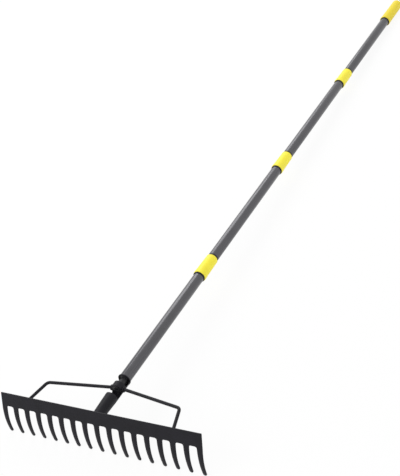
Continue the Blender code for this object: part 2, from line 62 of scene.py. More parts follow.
bl_info = {
    "name": "Garden Rake Finish",
    "version": (1, 0, 0),
    "blender": (4, 5, 0),
    "location": "3D View > Sidebar > Rake",
    "description": "Builds the finished surfaces, materials and stage of a four tube garden rake",
    "category": "Object",
}

MM = 0.001
COUPLERS = 3

# Gap between seated pieces, lean of the handle, and depth of its axis below the plate's top edge
SEAT = 0.3 * MM
HANDLE_ANGLE = math.radians(22.6)
AXIS_BELOW_TOP = 13.4 * MM

# Distances along the handle from the back of the plate
ROD_AT_SLEEVE = 74.2 * MM
FIRST_COUPLER = 390.8 * MM
COUPLER_PITCH = 376.2 * MM
CAP_START = 1475.0 * MM


class HeadSizes(bpy.types.PropertyGroup):
    """Sizes of the plate, its tines and the brace rods"""

    width: FloatProperty(name="Width", description="Overall width of the plate", default=0.430, unit="LENGTH")
    tines: IntProperty(name="Tines", description="Number of tines", default=17)
    sheet: FloatProperty(name="Sheet", description="Thickness of the steel", default=0.0024, unit="LENGTH")
    plate: FloatProperty(name="Plate", description="Height of the plate", default=0.0252, unit="LENGTH")
    root: FloatProperty(name="Root", description="Tine width at its root", default=0.0105, unit="LENGTH")
    tip: FloatProperty(name="Tip", description="Tine width at its tip", default=0.0068, unit="LENGTH")
    corner: FloatProperty(name="Corner", description="Radius between tines", default=0.004, unit="LENGTH")
    straight: FloatProperty(name="Straight", description="Run before the bend", default=0.030, unit="LENGTH")
    bend_radius: FloatProperty(name="Bend", description="Radius of the bend", default=0.115, unit="LENGTH")
    bend: FloatProperty(
        name="Turn", description="How far the tines turn back", default=math.radians(26.5), subtype="ANGLE"
    )
    crown: FloatProperty(name="Crown", description="Rise of a tine's middle", default=0.0006, unit="LENGTH")
    edge: FloatProperty(name="Edge", description="Rounding of the cut edges", default=0.0005, unit="LENGTH")
    rod: FloatProperty(name="Rod", description="Radius of the brace rods", default=0.003, unit="LENGTH")


class HandleSizes(bpy.types.PropertyGroup):
    """Sizes of the sleeve, the tubes, the couplers and the cap"""

    sleeve: FloatProperty(name="Sleeve", description="Sleeve's outer radius", default=0.012, unit="LENGTH")
    foot: FloatProperty(name="Foot", description="Outer radius at its foot", default=0.0103, unit="LENGTH")
    wall: FloatProperty(name="Wall", description="Wall of the sleeve", default=0.0019, unit="LENGTH")
    rim: FloatProperty(name="Rim", description="Outer radius of its rim", default=0.0126, unit="LENGTH")
    tube: FloatProperty(name="Tube", description="Outer radius of the tubes", default=0.011, unit="LENGTH")
    bore: FloatProperty(name="Bore", description="Inner radius of the tubes", default=0.010, unit="LENGTH")
    coupler: FloatProperty(name="Coupler", description="Length of a coupler", default=0.057, unit="LENGTH")
    cap: FloatProperty(name="Cap", description="Length of the end cap", default=0.1055, unit="LENGTH")
    pitch: FloatProperty(name="Pitch", description="Pitch of the thread", default=0.005, unit="LENGTH")


class FinishColours(bpy.types.PropertyGroup):
    """Colours of the finishes"""

    coat: FloatVectorProperty(
        name="Coat", description="Black enamel of the head", default=(0.0085, 0.0080, 0.0115), subtype="COLOR"
    )
    steel: FloatVectorProperty(
        name="Tube Paint", description="Paint of the tubes", default=(0.085, 0.084, 0.091), subtype="COLOR"
    )
    yellow: FloatVectorProperty(
        name="Plastic", description="Moulded couplers and cap", default=(0.97, 0.85, 0.052), subtype="COLOR"
    )
    nylon: FloatVectorProperty(
        name="Nylon", description="Plugs and spigot", default=(0.017, 0.017, 0.020), subtype="COLOR"
    )
    # Dark rubber of the washers, and of the rings at the mouths, which are painted shade for the shadow where
    # a tube enters
    rubber: FloatVectorProperty(
        name="Rubber", description="Washers and rings", default=(0.016, 0.016, 0.016), subtype="COLOR"
    )
    floor: FloatVectorProperty(
        name="Floor", description="Floor of the stage", default=(0.92, 0.92, 0.92), subtype="COLOR"
    )


class StageSettings(bpy.types.PropertyGroup):
    """Light of the stage"""

    key: FloatProperty(name="Key", description="Power of the key light", default=30.0, unit="POWER")
    fill: FloatProperty(name="Fill", description="Power of the fill light", default=16.0, unit="POWER")
    sky: FloatProperty(name="Sky", description="Strength of the plain surrounding light", default=0.84)


# Places

class Place:
    """A turned and shifted frame: a local point p lies at origin + p @ axes."""

    def __init__(self, origin, axes):
        self.origin = np.array(origin, float)
        self.axes = np.array(axes, float)

    def put(self, points):
        """World places of local points."""
        return self.origin + np.asarray(points, float) @ self.axes


def handle_place(distance=0.0):
    """Frame of the handle, begun at a distance along it from the plate: z runs along it and y upwards,
    square to it, by the first screw joint's axis and place."""
    hinge = next(joint for joint in frame["joints"] if joint["name"] == "joint_1_unscrew")
    along = np.array(hinge["axis"], float)
    along /= np.linalg.norm(along)
    up = np.array([0.0, -along[2], along[1]])
    origin = np.array(hinge["pos_m"], float) + along * (distance - FIRST_COUPLER)
    return Place(origin, [(-1, 0, 0), up, along])


def head_place():
    """Frame of the head, begun at the top edge of the plate's front: x across, y back, z up the plate."""
    handle = handle_place()
    up, along = handle.axes[1:]
    back = along * math.cos(HANDLE_ANGLE) - up * math.sin(HANDLE_ANGLE)
    rise = along * math.sin(HANDLE_ANGLE) + up * math.cos(HANDLE_ANGLE)
    sheet = bpy.context.scene.rake_head.sheet
    return Place(handle.origin - back * sheet + rise * AXIS_BELOW_TOP, [(1, 0, 0), back, rise])


# Outlines and grids

ROUND_SEGMENTS = 96
SMALL_SEGMENTS = 72
MERGE_WITHIN = 0.002 * MM
THINNEST = 0.001 * MM


def rounded(corners, radii, steps=5, closed=False):
    """Each corner becomes an arc that touches both runs at radius / tan(half the angle between them)."""
    corners = np.asarray(corners, float)
    count = len(corners)
    radii = np.broadcast_to(radii, count)
    part = np.linspace(0, 1, steps + 1)[:, None]
    runs = []
    for index, here in enumerate(corners):
        if radii[index] == 0 or (not closed and index in (0, count - 1)):
            runs.append(here[None])
            continue
        before = corners[index - 1] - here
        after = corners[(index + 1) % count] - here
        before = before / np.linalg.norm(before)
        after = after / np.linalg.norm(after)
        half = math.acos(float(np.clip(before @ after, -1, 1))) / 2
        middle = (before + after) / np.linalg.norm(before + after)
        centre = here + middle * radii[index] / math.sin(half)
        start = here + before * radii[index] / math.tan(half) - centre
        end = here + after * radii[index] / math.tan(half) - centre
        sweep = math.pi - 2 * half
        arc = (start * np.sin((1 - part) * sweep) + end * np.sin(part * sweep)) / math.sin(sweep)
        runs.append(centre + arc)
    return np.concatenate(runs)


def distances(path):
    """Distance travelled along the path at each of its points."""
    lengths = np.linalg.norm(np.diff(path, axis=0), axis=1)
    return np.concatenate([[0], np.cumsum(lengths)])


def points_at(path, travelled):
    """Points of the path at distances along it."""
    own = distances(path)
    return np.stack([np.interp(travelled, own, column) for column in path.T], 1)


def evenly(path, step):
    """The same path with points about one step apart."""
    whole = distances(path)[-1]
    return points_at(path, np.linspace(0, whole, max(2, round(whole / step) + 1)))


def cells(rows, columns, join_rows=False, join_columns=False):
    """Corner numbers of the cells of a grid of points, its last row or column joined to the first."""
    grid = np.arange(rows * columns).reshape(rows, columns)
    if join_rows:
        grid = np.concatenate([grid, grid[:1]])
    if join_columns:
        grid = np.concatenate([grid, grid[:, :1]], axis=1)
    return np.stack([grid[:-1, :-1], grid[:-1, 1:], grid[1:, 1:], grid[1:, :-1]], axis=-1)


def piece_from(name, points, faces, sharp_past):
    """A closed mesh object: doubles merged, faces turned outwards, edges past an angle left sharp."""
    mesh = bpy.data.meshes.new(name)
    mesh.from_pydata(points.reshape(-1, 3), [], faces.reshape(-1, 4).tolist())
    work = bmesh.new()
    work.from_mesh(mesh)
    loose = [corner for corner in work.verts if not corner.link_faces]
    bmesh.ops.delete(work, geom=loose, context="VERTS")
    bmesh.ops.remove_doubles(work, verts=work.verts, dist=MERGE_WITHIN)
    bmesh.ops.dissolve_degenerate(work, edges=work.edges, dist=THINNEST)
    bmesh.ops.recalc_face_normals(work, faces=work.faces)
    work.to_mesh(mesh)
    work.free()
    mesh.shade_smooth()
    mesh.set_sharp_from_angle(angle=math.radians(sharp_past))
    piece = bpy.data.objects.new(name, mesh)
    bpy.context.scene.collection.objects.link(piece)
    return piece


def turned(outline, segments=ROUND_SEGMENTS, closed=True, relief=None):
    """An outline of radius r and height h carried round Z: (r cos a, r sin a, h). Relief adds to r."""
    angle = np.linspace(0, 2 * math.pi, segments, endpoint=False)[:, None]
    radius = outline[None, :, 0]
    height = outline[None, :, 1] + 0 * angle
    if relief is not None:
        radius = radius + relief(angle, height)
    points = np.stack([radius * np.cos(angle), radius * np.sin(angle), height], axis=-1)
    return points, cells(segments, len(outline), True, closed)


def swept(path, radius, sides, reference=(0, 0, 1)):
    """A circle carried along a path: path + r (cos a * side + sin a * up), square to the path."""
    tangent = np.gradient(path, axis=0)
    tangent /= np.linalg.norm(tangent, axis=1)[:, None]
    side = np.cross(tangent, np.array(reference, float))
    side /= np.linalg.norm(side, axis=1)[:, None]
    up = np.cross(side, tangent)
    angle = np.linspace(0, 2 * math.pi, sides, endpoint=False)[None, :, None]
    radius = np.broadcast_to(radius, (len(path), sides))[..., None]
    points = path[:, None] + radius * (np.cos(angle) * side[:, None] + np.sin(angle) * up[:, None])
    ends = np.stack([path[0] + 0 * points[0], path[-1] + 0 * points[0]])
    points = np.concatenate([ends[:1], points, ends[1:]])
    return points, cells(len(points), sides, False, True)


def shell(layers, kept):
    """A wall: the kept cells on the first layer, the same turned round on the last, and strips through
    all the layers wherever a kept cell has an open side."""
    layers = np.stack([layer.reshape(-1, 3) for layer in layers])
    count = layers.shape[1]
    kept = kept.reshape(-1, 4)
    start = kept.ravel()
    end = np.roll(kept, -1, axis=1).ravel()
    open_side = ~np.isin(start * count + end, end * count + start)
    start = start[open_side]
    end = end[open_side]
    strips = [
        np.stack([end, start, start + count, end + count], axis=1) + count * layer
        for layer in range(len(layers) - 1)
    ]
    back = kept[:, ::-1] + count * (len(layers) - 1)
    return layers, np.concatenate([kept, back, *strips])


def edge_steps(radius, steps=4):
    """Inset and depth of each row of a quarter round edge, from the face outwards."""
    turn = np.linspace(0, math.pi / 2, steps + 1)
    return [(radius * (1 - math.sin(t)), radius * (1 - math.cos(t))) for t in turn]


def smooth_step(value):
    """Rises from 0 to 1 as 3v^2 - 2v^3."""
    value = np.clip(value, 0, 1)
    return value * value * (3 - 2 * value)


# Shader maths

class Value:
    """A shader socket on which Python's operators add Math nodes."""

    def __init__(self, finish, socket):
        self.finish = finish
        self.socket = socket

    def math(self, operation, *terms):
        """The value of a Math node on the terms."""
        return self.finish.node("ShaderNodeMath", {"operation": operation}, dict(enumerate(terms)))

    def __add__(self, other):
        return self.math("ADD", self, other)

    def __sub__(self, other):
        return self.math("SUBTRACT", self, other)

    def __rsub__(self, other):
        return self.math("SUBTRACT", other, self)

    def __mul__(self, other):
        return self.math("MULTIPLY", self, other)

    def clamped(self):
        """The value kept between 0 and 1."""
        return self.math("MINIMUM", self.math("MAXIMUM", self, 0.0), 1.0)

    __radd__ = __add__
    __rmul__ = __mul__


class Finish:
    """The nodes of a material or a world. Every node that is added comes from its node method."""

    def __init__(self, owner, shader="Principled BSDF"):
        owner.use_nodes = True
        self.owner = owner
        self.tree = owner.node_tree
        self.shader = self.tree.nodes[shader]

    def node(self, kind, settings, sockets, output=0):
        """The output of a new node, its settings made before its sockets."""
        made = self.tree.nodes.new(kind)
        for key, value in settings.items():
            setattr(made, key, value)
        self.feed(made, sockets)
        return Value(self, made.outputs[output])

    def feed(self, node, sockets):
        """Link each socket that gets a value from a node, and set the others."""
        for key, value in sockets.items():
            if isinstance(value, Value):
                self.tree.links.new(value.socket, node.inputs[key])
            else:
                node.inputs[key].default_value = value

    def coordinates(self, place=None, stretch=(1, 1, 1)):
        """Object coordinates in metres, turned into a place's own frame and stretched."""
        here = self.node("ShaderNodeTexCoord", {}, {}, "Object")
        if place is not None:
            shift = -place.axes @ place.origin
            turn = Matrix(place.axes.tolist()).to_euler()
            here = self.node("ShaderNodeMapping", {}, {0: here, "Location": shift.tolist(), "Rotation": turn})
        return self.node("ShaderNodeMapping", {}, {0: here, "Scale": stretch})

    def noise(self, where, scale, detail):
        """Noise from 0 to 1, its patches about 1 / scale across, with finer ones for more detail."""
        return self.node("ShaderNodeTexNoise", {}, {"Vector": where, "Scale": scale, "Detail": detail})

    def mix(self, factor, first, second):
        """The first colour where the factor is 0, and the second where it is 1."""
        return self.node("ShaderNodeMix", {"data_type": "RGBA"}, {0: factor, 6: first, 7: second}, 2)

    def spread(self, value, low, high):
        """The value stretched so that low becomes 0 and high becomes 1, and cut off there."""
        sockets = {"Value": value, "From Min": low, "From Max": high}
        return self.node("ShaderNodeMapRange", {"clamp": True}, sockets)

    def bump(self, height, strength, distance):
        """Normals of a surface raised by height times the distance."""
        sockets = {"Strength": strength, "Distance": distance, "Height": height}
        return self.node("ShaderNodeBump", {}, sockets)


def shade(colour, share=1.0):
    """A colour made lighter or darker, with its alpha."""
    return (*(min(1.0, channel * share) for channel in colour), 1.0)


def enamel(name, lumps):
    """Black enamel on steel: orange peel over coarser lumps, faint dust and rubbed patches."""
    colour = bpy.context.scene.rake_colours.coat
    finish = Finish(bpy.data.materials.new(name))
    where = finish.coordinates()
    patches = finish.spread(finish.noise(where, scale=38.0, detail=4.0), low=0.35, high=0.68)
    dust = finish.spread(finish.noise(where, scale=620.0, detail=2.0), low=0.60, high=0.78)
    peel = finish.noise(where, scale=900.0, detail=2.0)
    swell = finish.noise(where, scale=260.0, detail=2.0)
    base = finish.mix(patches, shade(colour, 0.82), shade(colour, 1.25))
    base = finish.mix(dust * 0.5, base, shade(colour, 2.2))
    height = peel * 0.35 + swell * lumps
    finish.feed(
        finish.shader,
        {
            "Base Color": base,
            "Roughness": 0.40 + patches * 0.10 + dust * 0.10,
            "Specular IOR Level": 0.19,
            "Normal": finish.bump(height, strength=0.5, distance=0.16 * MM),
        },
    )
    return finish.owner


def tube_paint(name):
    """Grey metallic paint over drawn tube: fine and wide lines lengthwise, and faint mottling."""
    colour = bpy.context.scene.rake_colours.steel
    finish = Finish(bpy.data.materials.new(name))
    handle = handle_place()
    where = finish.coordinates(handle)
    lines = finish.noise(finish.coordinates(handle, stretch=(700, 700, 2.5)), scale=1.0, detail=3.0)
    wide_lines = finish.noise(finish.coordinates(handle, stretch=(170, 170, 1.2)), scale=1.0, detail=2.0)
    streak = finish.spread(lines * 0.55 + wide_lines * 0.45, low=0.36, high=0.64)
    patch = finish.spread(finish.noise(where, scale=46.0, detail=4.0), low=0.34, high=0.68)
    grain = finish.noise(where, scale=1300.0, detail=2.0)
    base = finish.mix(streak, shade(colour, 0.86), shade(colour, 1.16))
    base = finish.mix(patch * 0.35, base, shade(colour, 1.3))
    height = lines * 0.7 + grain * 0.3
    finish.feed(
        finish.shader,
        {
            "Base Color": base,
            "Roughness": 0.20 + patch * 0.06 + streak * 0.05,
            "Metallic": 0.45,
            "Normal": finish.bump(height, strength=0.22, distance=0.12 * MM),
        },
    )
    return finish.owner


# Share of red, green and blue in the cap's warmer tone, its strength, and the length of its start
CAP_TONE = (0.82, 0.74, 0.50)
CAP_TONE_SHARE = 0.9
CAP_TONE_FADE = 2.0 * MM


def moulded(name, colour, smoothest, roughest, relief):
    """Moulded plastic or rubber: faint mottling and specks, moulding rings along the handle, a satin
    grain, and a warmer tone from the cap's start on."""
    finish = Finish(bpy.data.materials.new(name))
    handle = handle_place()
    where = finish.coordinates(handle)
    mottle = finish.spread(finish.noise(where, scale=52.0, detail=4.0), low=0.33, high=0.70)
    specks = finish.spread(finish.noise(where, scale=700.0, detail=1.0), low=0.68, high=0.80)
    rings = finish.noise(finish.coordinates(handle, stretch=(3, 3, 420)), scale=1.0, detail=2.0)
    grain = finish.noise(where, scale=1500.0, detail=2.0)
    along = finish.node("ShaderNodeSeparateXYZ", {}, {0: where}, "Z")
    on_cap = finish.spread(along, low=CAP_START - CAP_TONE_FADE, high=CAP_START)
    warmer = shade([channel * left for channel, left in zip(colour, CAP_TONE)])
    base = finish.mix(mottle, shade(colour, 0.94), shade(colour, 1.04))
    base = finish.mix(specks * 0.25, base, shade(colour, 0.72))
    base = finish.mix(on_cap * CAP_TONE_SHARE, base, warmer)
    height = rings * 0.6 + grain * 0.4
    finish.feed(
        finish.shader,
        {
            "Base Color": base,
            "Roughness": smoothest + (roughest - smoothest) * mottle,
            "Specular IOR Level": 0.35,
            "Normal": finish.bump(height, strength=relief, distance=0.14 * MM),
        },
    )
    return finish.owner


def finish_of(slot):
    """The finish of one of the record's material slots, made when it is first asked for."""
    colours = bpy.context.scene.rake_colours
    # Lumps of the enamel, and colour, least and most roughness and relief of what is moulded
    makers = {
        "black_coat": (enamel, 0.5),
        "black_weld": (enamel, 1.6),
        "grey_steel": (tube_paint,),
        "yellow_plastic": (moulded, colours.yellow, 0.42, 0.56, 0.25),
        "black_nylon": (moulded, colours.nylon, 0.42, 0.54, 0.3),
        "washer_rubber": (moulded, colours.rubber, 0.62, 0.78, 0.4),
    }
    name = slot + "_finish"
    make, *details = makers[slot]
    return bpy.data.materials.get(name) or make(name, *details)


def add_piece(node, slot, place, surface, sharp_past=38):
    """Add the finished piece of a node, from its surface's points and faces in a place's frame. It takes
    the node's body, and the slot's finish."""
    points, faces = surface
    piece = piece_from("finished_" + node, place.put(points), faces, sharp_past)
    piece.data.materials.append(finish_of(slot))
    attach(piece, frame["nodes"][node]["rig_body"])
    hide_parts(node)


# Head plate

TINE_COLUMNS = 8
GAP_COLUMNS = 6
PLATE_ROWS = 8
CORNER_ROWS = 8
TINE_ROWS = 40
TIP_ROWS = 8
TIP_TURN = math.radians(85)
CROWN_RAMP = 14 * MM


def tine_length(sizes):
    """Distance along the sheet from the top edge to the tips."""
    return sizes.straight + sizes.bend_radius * sizes.bend


def tine_rows(sizes, inset):
    """Distance from the top edge and half width of a tine on each row, with every edge moved in."""
    corner = sizes.corner + inset
    turn = np.linspace(0, math.pi / 2, CORNER_ROWS + 1)
    low = sizes.plate + sizes.corner
    high = tine_length(sizes) - sizes.tip / 2
    part = np.linspace(0, 1, TINE_ROWS + 1)[1:]
    cap = np.linspace(0, TIP_TURN, TIP_ROWS + 1)[1:]
    tip = sizes.tip / 2 - inset
    along = [
        np.linspace(inset, sizes.plate - inset, PLATE_ROWS + 1)[:-1],
        sizes.plate - inset + corner * (1 - np.cos(turn)),
        low + (high - low) * part,
        high + tip * np.sin(cap),
    ]
    half = [
        np.full(PLATE_ROWS, sizes.root / 2 + sizes.corner),
        sizes.root / 2 - inset + corner * (1 - np.sin(turn)),
        (sizes.root + (sizes.tip - sizes.root) * part) / 2 - inset,
        tip * np.cos(cap),
    ]
    return np.concatenate(along), np.concatenate(half)


def plate_layer(sizes, inset, depth):
    """The bent sheet at one depth d: (across, R (1 - cos b) + d cos b, -(run + (R - d) sin b)), with the
    bend b = (along - straight) / R past the straight run. Each tine's middle is raised."""
    along, half = tine_rows(sizes, inset)
    pitch = (sizes.width - sizes.root) / (sizes.tines - 1)
    middles = (np.arange(sizes.tines) - (sizes.tines - 1) / 2) * pitch
    side = np.linspace(-1, 1, TINE_COLUMNS + 1)
    outer = np.minimum(half, sizes.root / 2 - inset)
    left = np.where(np.arange(sizes.tines)[None, :] == 0, outer[:, None], half[:, None])
    right = np.where(np.arange(sizes.tines)[None, :] == sizes.tines - 1, outer[:, None], half[:, None])
    reach = np.where(side < 0, left[:, :, None], right[:, :, None])
    tines = middles[None, :, None] + side * reach
    gap = np.linspace(0, 1, GAP_COLUMNS + 1)[1:-1]
    between = tines[:, :-1, -1:] + (tines[:, 1:, :1] - tines[:, :-1, -1:]) * gap
    spare = np.repeat(tines[:, -1:, -1:], len(gap), axis=2)
    between = np.concatenate([between, spare], axis=1)
    across = np.concatenate([tines, between], axis=2).reshape(len(along), -1)
    bulge = np.concatenate([1 - side**2, 0 * gap])
    bulge = np.tile(bulge, sizes.tines)[None, :]
    ramp = smooth_step((along - sizes.plate) / CROWN_RAMP)[:, None]
    fade = smooth_step((tine_length(sizes) - along) / sizes.tip)[:, None]
    depth = depth - sizes.crown * bulge * ramp * fade
    bend = np.maximum(along - sizes.straight, 0)[:, None] / sizes.bend_radius
    run = np.minimum(along, sizes.straight)[:, None]
    back = sizes.bend_radius * (1 - np.cos(bend)) + depth * np.cos(bend)
    down = run + sizes.bend_radius * np.sin(bend) - depth * np.sin(bend)
    return np.stack([across, back + 0 * across, -down + 0 * across], axis=-1)


class RAKE_OT_head_plate(bpy.types.Operator):
    """Press the plate with its row of bent tines"""

    bl_idname = "rake.head_plate"
    bl_label = "Head Plate"

    def execute(self, context):
        sizes = context.scene.rake_head
        steps = edge_steps(sizes.edge)
        layers = [plate_layer(sizes, inset, depth) for inset, depth in steps]
        layers += [plate_layer(sizes, inset, sizes.sheet - depth) for inset, depth in reversed(steps)]
        rows, columns = layers[0].shape[:2]
        grid = cells(rows, columns)
        stride = TINE_COLUMNS + GAP_COLUMNS
        in_gap = np.arange(columns - 1) % stride >= TINE_COLUMNS
        kept = np.ones(grid.shape[:2], bool)
        kept[PLATE_ROWS:, in_gap] = False
        kept[:, columns - GAP_COLUMNS:] = False
        add_piece("head_plate", "black_coat", head_place(), shell(layers, grid[kept]), sharp_past=50)
        return {"FINISHED"}


# Socket sleeve

SLEEVE_LENGTH = 98.8 * MM
SLEEVE_TAPER_END = 48.0 * MM
SLEEVE_MITRE_END = 40.0 * MM
SLEEVE_STEP = 96.6 * MM
SLEEVE_STEP_RISE = 0.05 * MM
SLEEVE_EDGE = 0.35 * MM
RIM_START = 93.4 * MM
RIM_CHAMFER = 0.8 * MM
MOUTH_ROWS = (SLEEVE_STEP, SLEEVE_STEP + SLEEVE_STEP_RISE, 97.2 * MM, 97.8 * MM, 98.1 * MM)
WALL_COLUMNS = 64
LID_COLUMNS = 32

# Start, end and lower edge of each window, and the rows of the wall before it
WINDOWS = ((53.0 * MM, 69.7 * MM, -5.0 * MM, 16), (82.0 * MM, 96.2 * MM, -2.8 * MM, 6))
WINDOW_CORNER = 3.0 * MM
WINDOW_STEPS = 7
WINDOW_FLAT = 6


def sleeve_rows(inset):
    """Height of each row, height of the window edges there, and which rows lie in a window. A window's
    corner is a quarter circle: low + c (1 - cos a), floor + c (1 - sin a)."""
    corner = WINDOW_CORNER + inset
    turn = np.linspace(0, math.pi / 2, WINDOW_STEPS + 1)
    along = []
    floor = []
    opened = []
    start = inset
    level = WINDOWS[0][2] + WINDOW_CORNER
    for low, high, base, count in WINDOWS:
        low = low - inset
        high = high + inset
        next_level = base + WINDOW_CORNER
        run = np.linspace(0, 1, count + 1)[:-1]
        along.append(start + (low - start) * run)
        floor.append(level + (next_level - level) * run)
        opened.append(np.zeros(count, bool))
        rise = base - inset + corner * (1 - np.sin(turn))
        flat = np.linspace(low + corner, high - corner, WINDOW_FLAT)[1:-1]
        along += [low + corner * (1 - np.cos(turn)), flat, (high - corner * (1 - np.cos(turn)))[::-1]]
        floor += [rise, np.full(len(flat), base - inset), rise[::-1]]
        opened.append(np.ones(2 * len(turn) + len(flat), bool))
        opened[-1][-1] = False
        start = high
        level = next_level
    mouth = np.array([*MOUTH_ROWS, SLEEVE_LENGTH - inset])
    along.append(mouth)
    floor.append(np.full(len(mouth), level))
    opened.append(np.zeros(len(mouth), bool))
    return np.concatenate(along), np.concatenate(floor), np.concatenate(opened)


def sleeve_layer(sizes, inset, depth, inner):
    """One layer of the rolled sleeve: (r sin a, -r cos a, along). Its foot follows the slanted plate: it
    begins at (seat / cos lean + r * rise) / (1 - slope * rise), where rise = -cos a * tan lean, and this
    shift fades out along the mitre."""
    along, floor, _ = sleeve_rows(inset)
    slope = (sizes.sleeve - sizes.foot) / SLEEVE_TAPER_END
    if inner:
        outline = [
            (0, sizes.foot - sizes.wall),
            (SLEEVE_TAPER_END, sizes.sleeve - sizes.wall),
            (SLEEVE_STEP, sizes.sleeve - sizes.wall),
            (SLEEVE_STEP + SLEEVE_STEP_RISE, sizes.tube + SEAT),
            (SLEEVE_LENGTH, sizes.tube + SEAT),
        ]
    else:
        outline = [
            (0, sizes.foot),
            (SLEEVE_TAPER_END, sizes.sleeve),
            (RIM_START, sizes.sleeve),
            (RIM_START + RIM_CHAMFER, sizes.rim),
            (SLEEVE_LENGTH - RIM_CHAMFER, sizes.rim),
            (SLEEVE_LENGTH, sizes.rim - RIM_CHAMFER),
        ]
    heights, radii = np.array(outline).T
    radius = np.interp(along, heights, radii)
    radius = radius + depth if inner else radius - depth
    edge = np.arccos(np.clip(-floor / radius, -1, 1))[:, None]
    wall = edge * np.linspace(-1, 1, WALL_COLUMNS + 1)
    lid = edge + (2 * math.pi - 2 * edge) * np.linspace(0, 1, LID_COLUMNS + 1)[1:-1]
    angle = np.concatenate([wall, lid], axis=1)
    foot = radii[0] + (depth if inner else -depth)
    tilt = math.tan(HANDLE_ANGLE)
    rise = -np.cos(angle) * tilt
    start = (SEAT / math.cos(HANDLE_ANGLE) + foot * rise) / (1 - slope * rise)
    share = np.clip(1 - along / SLEEVE_MITRE_END, 0, 1)[:, None]
    height = along[:, None] + start * share
    radius = radius[:, None] + slope * start * share
    return np.stack([radius * np.sin(angle), -radius * np.cos(angle), height], axis=-1)


class RAKE_OT_socket_sleeve(bpy.types.Operator):
    """Roll the socket sleeve with its rim and its two windows"""

    bl_idname = "rake.socket_sleeve"
    bl_label = "Socket Sleeve"

    def execute(self, context):
        sizes = context.scene.rake_handle
        steps = edge_steps(SLEEVE_EDGE)
        layers = [sleeve_layer(sizes, inset, depth, False) for inset, depth in steps]
        layers += [sleeve_layer(sizes, inset, depth, True) for inset, depth in reversed(steps)]
        rows, columns = layers[0].shape[:2]
        grid = cells(rows, columns, False, True)
        opened = sleeve_rows(0.0)[2][:-1]
        kept = np.ones(grid.shape[:2], bool)
        kept[np.ix_(opened, np.arange(columns) >= WALL_COLUMNS)] = False
        surface = shell(layers, grid[kept])
        add_piece("socket_sleeve", "black_coat", handle_place(), surface, sharp_past=45)
        return {"FINISHED"}


# Spigot

# Radius, place along the handle and rounding of each corner, in millimetres
SPIGOT_OUTLINE = (
    (0.0, 71.8, 0.0),
    (3.0, 70.3, 0.6),
    (9.8, 70.3, 0.6),
    (9.8, 81.4, 0.6),
    (6.5, 81.4, 0.8),
    (6.5, 97.5, 0.6),
    (9.7, 97.5, 0.4),
    (9.7, 127.5, 1.2),
    (0.0, 127.5, 0.0),
)


class RAKE_OT_spigot(bpy.types.Operator):
    """Turn the spigot that joins the sleeve to the first tube"""

    bl_idname = "rake.spigot"
    bl_label = "Spigot"

    def execute(self, context):
        corners = np.array(SPIGOT_OUTLINE) * MM
        surface = turned(rounded(corners[:, :2], corners[:, 2]), SMALL_SEGMENTS, closed=False)
        add_piece("spigot", "black_nylon", handle_place(), surface)
        return {"FINISHED"}


# Brace rods and welds

ROD_FOOT_INSET = 58.0 * MM
ROD_FOOT_DROP = 10.2 * MM
ROD_LEG_LEAN = 13.4 * MM
ROD_BEND_OUT = 49.8 * MM
ROD_BEND_UP = 11.6 * MM
ROD_BEND_RADIUS = 9.0 * MM
ROD_STRAIGHT_END = 15.0 * MM
ROD_KNEE_RADIUS = 24.0 * MM
ROD_INNER_END = 6.0 * MM
ROD_END_ROUND = 0.4 * MM
ROD_END_POINTS = 5
ROD_STEP = 1.5 * MM
ROD_BEND_STEPS = 14
ROD_SIDES = 32
WELD = 1.4 * MM
WELD_SPREAD = 0.35 * MM
SLEEVE_WELD = 0.9 * MM
FOOT_WELD = (math.radians(-48), math.radians(22))
FOOT_WELD_CLEAR = 0.58 * MM
FOOT_WELD_POINTS = 72
FOOT_WELD_BLUNTNESS = 24
FOOT_WELD_LEAST_END = 0.02
BEAD_SIDES = 20
BEAD_LEVEL = 0.95

# Number of puddles along each bead, their height as a share of its radius, and a slower waver's
RING_PUDDLES = (13, 0.09)
FOOT_PUDDLES = (9, 0.12)
RING_WAVER = 0.06


def rod_corners(head, side):
    """Corner points of a brace rod in the head's frame, from its foot on the plate to the sleeve."""
    foot_x = head.width / 2 - ROD_FOOT_INSET
    foot = np.array([side * foot_x, head.sheet + SEAT, -ROD_FOOT_DROP])
    bend = np.array([side * (foot_x - ROD_LEG_LEAN), ROD_BEND_OUT, ROD_BEND_UP])
    across = head.sheet + ROD_AT_SLEEVE * math.cos(HANDLE_ANGLE)
    up = ROD_AT_SLEEVE * math.sin(HANDLE_ANGLE) - AXIS_BELOW_TOP
    knee = np.array([side * ROD_STRAIGHT_END, across, up])
    end = np.array([side * ROD_INNER_END, across, up])
    line = (bend - foot) / np.linalg.norm(bend - foot)
    clear = head.rod * math.sqrt(1 - line[1] ** 2) / line[1]
    return foot, line, np.array([foot + line * clear, bend, knee, end])


def capped(path, radius, step, end_round):
    """Points a step apart and their radii, with both ends eased by a quarter round."""
    path = evenly(path, step)
    own = distances(path)
    turn = np.linspace(0, math.pi / 2, ROD_END_POINTS)
    ease = end_round * (1 - np.cos(turn))
    inner = own[(own > end_round) & (own < own[-1] - end_round)]
    at = np.concatenate([ease, inner, own[-1] - ease[::-1]])
    close = radius - end_round * (1 - np.sin(turn))
    return points_at(path, at), np.concatenate([close, np.full(len(inner), radius), close[::-1]])


class RAKE_OT_brace_rods(bpy.types.Operator):
    """Bend the two brace rods"""

    bl_idname = "rake.brace_rods"
    bl_label = "Brace Rods"

    def execute(self, context):
        sizes = context.scene.rake_head
        for side, word in ((-1, "left"), (1, "right")):
            corners = rod_corners(sizes, side)[2]
            path = rounded(corners, (0, ROD_BEND_RADIUS, ROD_KNEE_RADIUS, 0), ROD_BEND_STEPS)
            path, radius = capped(path, sizes.rod, ROD_STEP, ROD_END_ROUND)
            surface = swept(path, radius[:, None], ROD_SIDES)
            add_piece("brace_rod_" + word, "black_coat", head_place(), surface)
        return {"FINISHED"}


